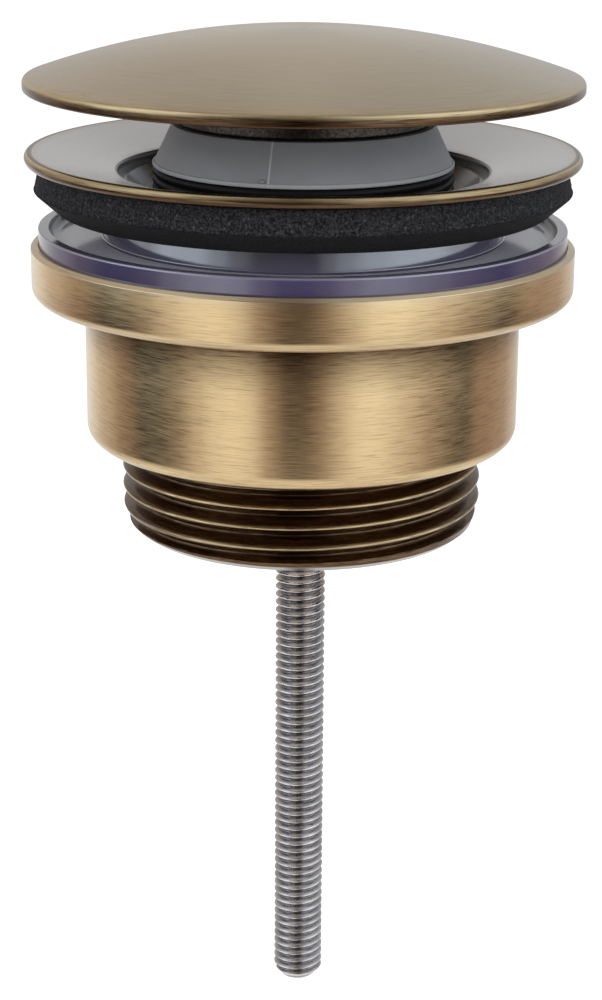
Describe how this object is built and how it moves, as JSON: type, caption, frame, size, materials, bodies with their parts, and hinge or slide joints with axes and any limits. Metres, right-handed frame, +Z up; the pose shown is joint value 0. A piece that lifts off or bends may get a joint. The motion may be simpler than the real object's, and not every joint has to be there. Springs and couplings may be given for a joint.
{
  "type": "pop up basin waste",
  "caption": "Domed push plug over a dished basin flange with a foam washer, and a threaded tail with a clear gasket that a long tie bolt draws up.",
  "frame": {"origin": "on the axis, at the underside of the foam washer, where the flange rests on the basin", "axes": "+Z up along the axis towards the plug's cap; X and Y lie half way between the arms"},
  "size_m": [0.063, 0.063, 0.1176],
  "materials": {
    "antique_brass": "brushed antique brass, brown in the low places",
    "plain_brass": "turned, bare",
    "dark_bronze": "dark cast bronze",
    "steel": "zinc plated",
    "grey_plastic": "moulded, satin",
    "white_plastic": "moulded, smooth",
    "black_rubber": "moulded, matt",
    "black_foam": "closed cell foam",
    "clear_pvc": "clear, slightly blue, glossy"
  },
  "bodies": {
    "flange": {"basin_flange": "antique_brass", "foam_washer": "black_foam", "cartridge_barrel": "plain_brass", "cartridge_gland": "plain_brass", "gland_o_ring": "black_rubber", "latch_sleeve": "white_plastic", "return_spring": "steel", "spring_seat": "plain_brass", "bolt_washer": "steel"},
    "plug": {"plug_cap": "antique_brass", "plug_hub": "dark_bronze", "seal_carrier": "grey_plastic", "plug_seal": "black_rubber", "carrier_washer": "steel", "carrier_nut": "plain_brass", "plug_stud": "steel", "plunger": "plain_brass"},
    "rotor": {"latch_rotor": "white_plastic"},
    "bolt": {"tie_bolt": "steel"},
    "tail": {"tail_body": "antique_brass", "rod_insert": "plain_brass", "clear_gasket": "clear_pvc"}
  },
  "joints": [
    {"name": "plug_press", "type": "slide", "parent": "flange", "child": "plug", "axis": [0, 0, 1], "range_m": [-0.0066, 0], "stiffness_N_per_m": 600, "springref_m": 0.013, "deforming": ["return_spring"]},
    {"name": "rotor_index", "type": "hinge", "parent": "plug", "child": "rotor", "pos_m": [0, 0, -0.012], "axis": [0, 0, 1], "range_deg": [0, 45]},
    {"name": "tail_clamp", "type": "slide", "parent": "flange", "child": "tail", "axis": [0, 0, 1], "range_m": [-0.05, 0.0018]},
    {"name": "bolt_turn", "type": "hinge", "parent": "flange", "child": "bolt", "pos_m": [0, 0, -0.03], "axis": [0, 0, 1], "range_deg": [-650, 18010]}
  ],
  "couplings": [
    {"joint": "rotor_index", "follows": "plug_press", "rad_per_m": -118.99},
    {"joint": "bolt_turn", "follows": "tail_clamp", "rad_per_m": -6283.2}
  ]
}
